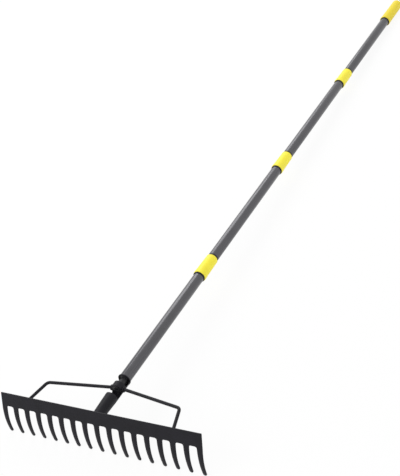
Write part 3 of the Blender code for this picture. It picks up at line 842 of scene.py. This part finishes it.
def puddled(share, puddles):
    """Ripple of a bead, as a welder's puddles leave it: level + height * |sin(number * pi * share)|."""
    number, height = puddles
    return BEAD_LEVEL + height * np.abs(np.sin(number * math.pi * share))


def weld_ring(centre, first, second, axis, rod, bead):
    """A rippled bead round a rod: centre + (R + b cos p) (cos t * first + sin t * second) + b sin p * axis,
    where b ripples and wavers with the turn t."""
    turn = np.linspace(0, 2 * math.pi, ROUND_SEGMENTS, endpoint=False)[:, None]
    around = np.linspace(0, 2 * math.pi, BEAD_SIDES, endpoint=False)[None, :]
    ripple = puddled(turn / (2 * math.pi), RING_PUDDLES) + RING_WAVER * np.sin(3 * turn + 1)
    size = (bead + WELD_SPREAD) * ripple
    reach = rod + SEAT + bead + size * np.cos(around)
    out = np.cos(turn)[..., None] * first + np.sin(turn)[..., None] * second
    points = centre + reach[..., None] * out + (size * np.sin(around))[..., None] * axis
    return points, cells(ROUND_SEGMENTS, BEAD_SIDES, True, True)


class RAKE_OT_welds(bpy.types.Operator):
    """Lay the weld beads at the rods' ends and beside the sleeve's foot"""

    bl_idname = "rake.welds"
    bl_label = "Weld Beads"

    def execute(self, context):
        head = context.scene.rake_head
        handle = context.scene.rake_handle
        across, back, up = np.eye(3)
        for side, word in ((-1, "left"), (1, "right")):
            foot, line, corners = rod_corners(head, side)
            height = SEAT + WELD
            centre = foot + line * (height / line[1])
            centre[1] = head.sheet + height
            made = {"plate_weld_": weld_ring(centre, across, up, back, head.rod / line[1], WELD)}
            centre = corners[-1].copy()
            centre[0] = side * (handle.sleeve + SEAT + SLEEVE_WELD)
            made["sleeve_weld_"] = weld_ring(centre, back, up, across, head.rod, SLEEVE_WELD)
            reach = handle.foot + WELD + FOOT_WELD_CLEAR
            turn = np.linspace(*FOOT_WELD, FOOT_WELD_POINTS)
            rise = reach * np.sin(turn) / math.cos(HANDLE_ANGLE) + height * math.tan(HANDLE_ANGLE)
            flat = 0 * turn + head.sheet + height
            path = np.stack([side * reach * np.cos(turn), flat, rise - AXIS_BELOW_TOP], 1)
            share = np.linspace(0, 1, FOOT_WELD_POINTS)
            ends = 1 - (2 * share - 1) ** FOOT_WELD_BLUNTNESS
            ends = np.sqrt(np.maximum(ends, FOOT_WELD_LEAST_END))
            size = (WELD + WELD_SPREAD) * puddled(share, FOOT_PUDDLES) * ends
            made["foot_weld_"] = swept(path, size[:, None], BEAD_SIDES, back)
            for name, surface in made.items():
                add_piece(name + word, "black_weld", head_place(), surface, sharp_past=60)
        return {"FINISHED"}


# Thread

MALE_MINOR = 7.2 * MM
MALE_MAJOR = 8.6 * MM
THREAD_GAP = 0.4 * MM
FLANK_GAP = 0.35 * MM
CREST_HALF = 0.6 * MM
ROOT_HALF = 1.2 * MM
MALE_THREAD = (32.5 * MM, 48.5 * MM)
THREAD_LEAD_IN = 6.0 * MM
THREAD_FADE = 1.2 * MM


def thread_form(angle, height, pitch, spread):
    """1 within a crest's half width of the line height = pitch * turns, and 0 past a root's half width
    from it. The spread widens both."""
    phase = height / pitch - angle / (2 * math.pi)
    away = np.abs(phase - np.round(phase)) * pitch
    return np.clip((ROOT_HALF + spread - away) / (ROOT_HALF - CREST_HALF), 0, 1)


# Tubes and what joins them

COUPLER_TUBE_DEPTH = 28.0 * MM
CAP_TUBE_DEPTH = 86.0 * MM
WASHER = 1.2 * MM
FLANGE = 1.8 * MM
# Length and outer radius of the dark rings at the mouths, painted shade put where a tube enters in shadow
SHADOW_RING_LENGTH = 2.0 * MM
SHADOW_RING_OUTER = 12.4 * MM
EASE = 0.3 * MM


def coupler_base(number):
    """Distance of a coupler's lower end along the handle."""
    return FIRST_COUPLER + COUPLER_PITCH * (number - 1)


def flange_base(coupler_length):
    """Height of a plug's flange above the coupler's lower end, past the coupler and the washer."""
    return coupler_length + SEAT + WASHER + SEAT


def seated_tube_foot(number, coupler_length):
    """Distance of a tube's lower end along the handle."""
    if number == 1:
        return SLEEVE_STEP + SEAT
    return coupler_base(number - 1) + flange_base(coupler_length) + FLANGE + SEAT


class RAKE_OT_tubes(bpy.types.Operator):
    """Draw the four tubes with eased ends"""

    bl_idname = "rake.tubes"
    bl_label = "Tubes"

    def execute(self, context):
        sizes = context.scene.rake_handle
        last = COUPLERS + 1
        for number in range(1, last + 1):
            low = seated_tube_foot(number, sizes.coupler)
            high = coupler_base(number) + COUPLER_TUBE_DEPTH
            if number == last:
                high = CAP_START + CAP_TUBE_DEPTH
            corners = [(sizes.bore, low), (sizes.tube, low), (sizes.tube, high), (sizes.bore, high)]
            surface = turned(rounded(corners, EASE, steps=4, closed=True))
            add_piece("tube_%d" % number, "grey_steel", handle_place(), surface)
        return {"FINISHED"}


# Radius, height and rounding of each corner, in millimetres
COUPLER_OUTSIDE = (
    (12.4, 0.0, 0.3),
    (13.3, 1.5, 1.2),
    (13.3, 9.0, 5.0),
    (12.8, 14.0, 5.0),
    (12.8, 22.0, 6.0),
    (12.3, 48.0, 6.0),
    (12.3, 55.6, 0.8),
    (11.2, 57.0, 0.4),
)
COUPLER_THREAD_ROWS = 120


class RAKE_OT_couplers(bpy.types.Operator):
    """Mould the three couplers with their threaded bores"""

    bl_idname = "rake.couplers"
    bl_label = "Couplers"

    def execute(self, context):
        sizes = context.scene.rake_handle
        outside = np.array(COUPLER_OUTSIDE) * MM
        bore = MALE_MINOR + THREAD_GAP
        groove = MALE_MAJOR - MALE_MINOR
        lead = sizes.coupler - THREAD_LEAD_IN
        seat = COUPLER_TUBE_DEPTH + SEAT
        mouth = bore + groove + SEAT
        body = rounded(outside[:, :2], outside[:, 2], steps=6)
        into = rounded([(mouth, sizes.coupler), (mouth, lead), (bore, lead)], EASE, steps=3)
        rows = np.linspace(lead, seat, COUPLER_THREAD_ROWS)
        thread = np.stack([np.full(COUPLER_THREAD_ROWS, bore), rows], 1)
        socket = [(sizes.tube + SEAT, seat), (sizes.tube + SEAT, 0.0)]
        outline = np.concatenate([body, into[:-1], thread, socket])

        def relief(angle, height):
            """The groove, cut to one radius in the bore and in its wider mouth."""
            form = thread_form(angle, height, sizes.pitch, FLANK_GAP)
            deeper = np.maximum(bore + groove * form - outline[None, :, 0], 0)
            return np.where(height > seat + THREAD_FADE / 2, deeper, 0)

        surface = turned(outline, relief=relief)
        for number in range(1, COUPLERS + 1):
            place = handle_place(coupler_base(number))
            add_piece("coupler_%d" % number, "yellow_plastic", place, surface)
        return {"FINISHED"}


PLUG_FOOT = 31.0 * MM
PLUG_FOOT_CHAMFER = 1.0 * MM
PLUG_CORE_END = 51.0 * MM
PLUG_GRIP = 28.0 * MM
PLUG_BORE = 4.0 * MM
PLUG_ROUNDING = np.array([0, 0.5, 0.25, 0.25, 0.2, 1.0, 0.4, 0.4, 0]) * MM
PLUG_THREAD_ROWS = 140


class RAKE_OT_plugs(bpy.types.Operator):
    """Mould the three threaded plugs"""

    bl_idname = "rake.plugs"
    bl_label = "Threaded Plugs"

    def execute(self, context):
        sizes = context.scene.rake_handle
        flange = flange_base(sizes.coupler)
        grip = flange + FLANGE + PLUG_GRIP
        rows = np.linspace(PLUG_FOOT + PLUG_FOOT_CHAMFER, PLUG_CORE_END, PLUG_THREAD_ROWS)
        core = np.stack([np.full(PLUG_THREAD_ROWS, MALE_MINOR), rows], 1)
        upper = rounded(
            [
                (MALE_MINOR, PLUG_CORE_END),
                (MALE_MINOR, flange),
                (sizes.tube, flange),
                (sizes.tube, flange + FLANGE),
                (sizes.bore - SEAT, flange + FLANGE),
                (sizes.bore - SEAT, grip),
                (PLUG_BORE, grip),
                (PLUG_BORE, PLUG_FOOT),
                (MALE_MINOR - PLUG_FOOT_CHAMFER, PLUG_FOOT),
            ],
            PLUG_ROUNDING,
            steps=4,
        )
        outline = np.concatenate([core, upper[1:]])
        start, end = MALE_THREAD

        def relief(angle, height):
            """The thread on the core, raised and lowered smoothly at its two ends."""
            form = thread_form(angle, height, sizes.pitch, 0.0)
            fade = smooth_step((height - start + THREAD_FADE) / THREAD_FADE)
            fade = fade * smooth_step((end + THREAD_FADE - height) / THREAD_FADE)
            on_core = np.abs(outline[None, :, 0] - MALE_MINOR) < THINNEST
            return np.where(on_core, (MALE_MAJOR - MALE_MINOR) * form * fade, 0)

        surface = turned(outline, relief=relief)
        for number in range(1, COUPLERS + 1):
            place = handle_place(coupler_base(number))
            add_piece("threaded_plug_%d" % number, "black_nylon", place, surface)
        return {"FINISHED"}


WASHER_PROUD = 0.15 * MM
# Rounding of the dark rings at the mouths, which are painted shade for the shadow where a tube enters
SHADOW_RING_ROUNDING = np.array([0.2, 0.5, 0.2, 0.1]) * MM


class RAKE_OT_washers_and_shadow_rings(bpy.types.Operator):
    """Mould the washers, and the dark rings at the mouths that stand in for the shadow where each tube
    enters: painted shade
    """

    bl_idname = "rake.seals"
    bl_label = "Washers and Rings"

    def execute(self, context):
        sizes = context.scene.rake_handle
        hole = MALE_MINOR + SEAT
        rim = sizes.tube + WASHER_PROUD
        low = sizes.coupler + SEAT
        high = low + WASHER
        corners = [(hole, low), (rim, low), (rim, high), (hole, high)]
        washer = rounded(corners, EASE, steps=4, closed=True)
        bore = sizes.tube + SEAT
        top = -SEAT
        foot = -SEAT - SHADOW_RING_LENGTH
        corners = [(bore, foot), (SHADOW_RING_OUTER, foot), (SHADOW_RING_OUTER, top), (bore, top)]
        shadow_ring = rounded(corners, SHADOW_RING_ROUNDING, steps=4, closed=True)
        # The cap_ring and coupler_ring pieces are dark rings put at the mouths as painted shade for the
        # shadow where each tube enters
        made = {"cap_ring": (shadow_ring, CAP_START)}
        for number in range(1, COUPLERS + 1):
            made["washer_%d" % number] = (washer, coupler_base(number))
            made["coupler_ring_%d" % number] = (shadow_ring, coupler_base(number))
        for node, (outline, base) in made.items():
            add_piece(node, "washer_rubber", handle_place(base), turned(outline, SMALL_SEGMENTS))
        return {"FINISHED"}


# Radius, height and rounding of each corner of the cap's flared mouth, in millimetres
CAP_MOUTH = (
    (12.9, 0.0, 0.3),
    (13.7, 1.4, 1.0),
    (13.7, 6.0, 3.0),
    (13.4, 9.0, 3.0),
)
CAP_END_RADIUS = 12.9 * MM
CAP_DOME = 8.0 * MM
CAP_DOME_POINTS = 15


class RAKE_OT_end_cap(bpy.types.Operator):
    """Mould the long end cap with its domed end"""

    bl_idname = "rake.end_cap"
    bl_label = "End Cap"

    def execute(self, context):
        sizes = context.scene.rake_handle
        bore = sizes.tube + SEAT
        end = CAP_TUBE_DEPTH + SEAT
        dome = sizes.cap - CAP_DOME
        mouth = np.array(CAP_MOUTH) * MM
        corners = np.concatenate([[(bore, 0)], mouth[:, :2], [(CAP_END_RADIUS, dome)]])
        skirt = rounded(corners, np.concatenate([[0], mouth[:, 2], [0]]))
        turn = np.linspace(0, math.pi / 2, CAP_DOME_POINTS)[1:-1]
        arc = np.stack([CAP_END_RADIUS * np.cos(turn), dome + CAP_DOME * np.sin(turn)], 1)
        inside = [(0, sizes.cap), (0, end), (bore, end), (bore, 0)]
        surface = turned(np.concatenate([skirt, arc, inside]), closed=False)
        add_piece("end_cap", "yellow_plastic", handle_place(CAP_START), surface)
        return {"FINISHED"}


# Stage

EYE = (1.04713, -1.63101, 1.26765)
LOOKED_AT = (-0.10498, -0.21911, 0.0)
ROLL = math.radians(-19.668)
FOCAL_LENGTH = 77.6202
FRAME_HEIGHT = 476
FLOOR_REACH = 6.0
FLOOR_POINTS = 13
FLOOR_HEIGHT = -0.2 * MM
FLOOR_GLOW = 0.9
WHITE = (1, 1, 1, 1)

# Name, side, place and target of each square lamp
LAMPS = (
    ("key", 1.8, (-1.4, 1.7, 1.9), (0, -0.2, 0.03)),
    ("fill", 1.4, (-1.6, -2.0, 1.8), (0, -0.4, 0.03)),
)


def facing(origin, target):
    """The turn that points a lamp or camera at a target, its top upwards."""
    return (Vector(target) - Vector(origin)).to_track_quat("-Z", "Y")


def lamp(name, power, side, origin, target):
    """A soft square light aimed at a point."""
    data = bpy.data.lights.new(name, "AREA")
    data.shape = "SQUARE"
    data.size = side
    data.energy = power
    light = bpy.data.objects.new(name, data)
    light.location = origin
    light.rotation_euler = facing(origin, target).to_euler()
    bpy.context.scene.collection.objects.link(light)


def sees_backdrop(finish):
    """1 for camera, glossy and transmission rays, which see a plain white background."""
    rays = ("Is Camera Ray", "Is Glossy Ray", "Is Transmission Ray")
    camera, glossy, clear = (finish.node("ShaderNodeLightPath", {}, {}, ray) for ray in rays)
    return (camera + glossy + clear).clamped()


class RAKE_OT_stage(bpy.types.Operator):
    """Set the floor, the lights and the camera"""

    bl_idname = "rake.stage"
    bl_label = "Stage"

    def execute(self, context):
        scene = context.scene
        settings = scene.rake_stage
        across = np.linspace(-FLOOR_REACH, FLOOR_REACH, FLOOR_POINTS)
        x, y = np.meshgrid(across, across, indexing="ij")
        points = np.stack([x, y, 0 * x + FLOOR_HEIGHT], -1)
        faces = cells(FLOOR_POINTS, FLOOR_POINTS).reshape(-1, 4)[:, ::-1]
        mesh = bpy.data.meshes.new("floor")
        mesh.from_pydata(points.reshape(-1, 3), [], faces.tolist())
        floor = bpy.data.objects.new("floor", mesh)
        scene.collection.objects.link(floor)
        finish = Finish(bpy.data.materials.new("floor_finish"))
        finish.feed(finish.shader, {"Base Color": shade(scene.rake_colours.floor), "Roughness": 0.9})
        glow = finish.node("ShaderNodeEmission", {}, {"Color": WHITE, "Strength": 1.0})
        plain = Value(finish, finish.shader.outputs[0])
        share = sees_backdrop(finish) * FLOOR_GLOW
        mixed = finish.node("ShaderNodeMixShader", {}, {0: share, 1: plain, 2: glow})
        finish.feed(finish.tree.nodes["Material Output"], {"Surface": mixed})
        mesh.materials.append(finish.owner)

        scene.world = bpy.data.worlds.new("studio")
        sky = Finish(scene.world, "Background")
        backdrop = sees_backdrop(sky)
        strength = backdrop + (1 - backdrop) * settings.sky
        sky.feed(sky.shader, {"Color": WHITE, "Strength": strength})

        for name, side, origin, target in LAMPS:
            lamp(name, getattr(settings, name), side, origin, target)

        camera = bpy.data.cameras.new("camera")
        camera.lens = FOCAL_LENGTH
        camera.shift_y = 0.5 / FRAME_HEIGHT
        eye = bpy.data.objects.new("camera", camera)
        scene.collection.objects.link(eye)
        turn = facing(EYE, LOOKED_AT).to_matrix().to_4x4() @ Matrix.Rotation(ROLL, 4, "Z")
        eye.matrix_world = Matrix.Translation(EYE) @ turn
        scene.camera = eye
        scene.view_settings.view_transform = "Standard"
        return {"FINISHED"}


class RAKE_PT_pieces(bpy.types.Panel):
    """Pieces of the rake"""

    bl_idname = "RAKE_PT_pieces"
    bl_label = "Garden Rake"
    bl_space_type = "VIEW_3D"
    bl_region_type = "UI"
    bl_category = "Rake"

    def draw(self, context):
        for operator in OPERATORS:
            self.layout.operator(operator.bl_idname)
        for name, group in GROUPS.items():
            box = self.layout.box()
            for key in group.__annotations__:
                box.prop(getattr(context.scene, name), key)


GROUPS = {
    "rake_head": HeadSizes,
    "rake_handle": HandleSizes,
    "rake_colours": FinishColours,
    "rake_stage": StageSettings,
}
OPERATORS = (
    RAKE_OT_stage,
    RAKE_OT_head_plate,
    RAKE_OT_socket_sleeve,
    RAKE_OT_spigot,
    RAKE_OT_brace_rods,
    RAKE_OT_welds,
    RAKE_OT_tubes,
    RAKE_OT_couplers,
    RAKE_OT_plugs,
    RAKE_OT_washers_and_shadow_rings,
    RAKE_OT_end_cap,
)


def register():
    """Add the settings, the operators and the panel."""
    for name, group in GROUPS.items():
        bpy.utils.register_class(group)
        setattr(bpy.types.Scene, name, PointerProperty(type=group))
    for operator in OPERATORS:
        bpy.utils.register_class(operator)
    bpy.utils.register_class(RAKE_PT_pieces)


def unregister():
    """Take the panel, the operators and the settings away."""
    bpy.utils.unregister_class(RAKE_PT_pieces)
    for operator in reversed(OPERATORS):
        bpy.utils.unregister_class(operator)
    for name, group in GROUPS.items():
        delattr(bpy.types.Scene, name)
        bpy.utils.unregister_class(group)


def main():
    register()
    for operator in OPERATORS:
        group, name = operator.bl_idname.split(".")
        getattr(getattr(bpy.ops, group), name)()


if __name__ == "__main__":
    main()
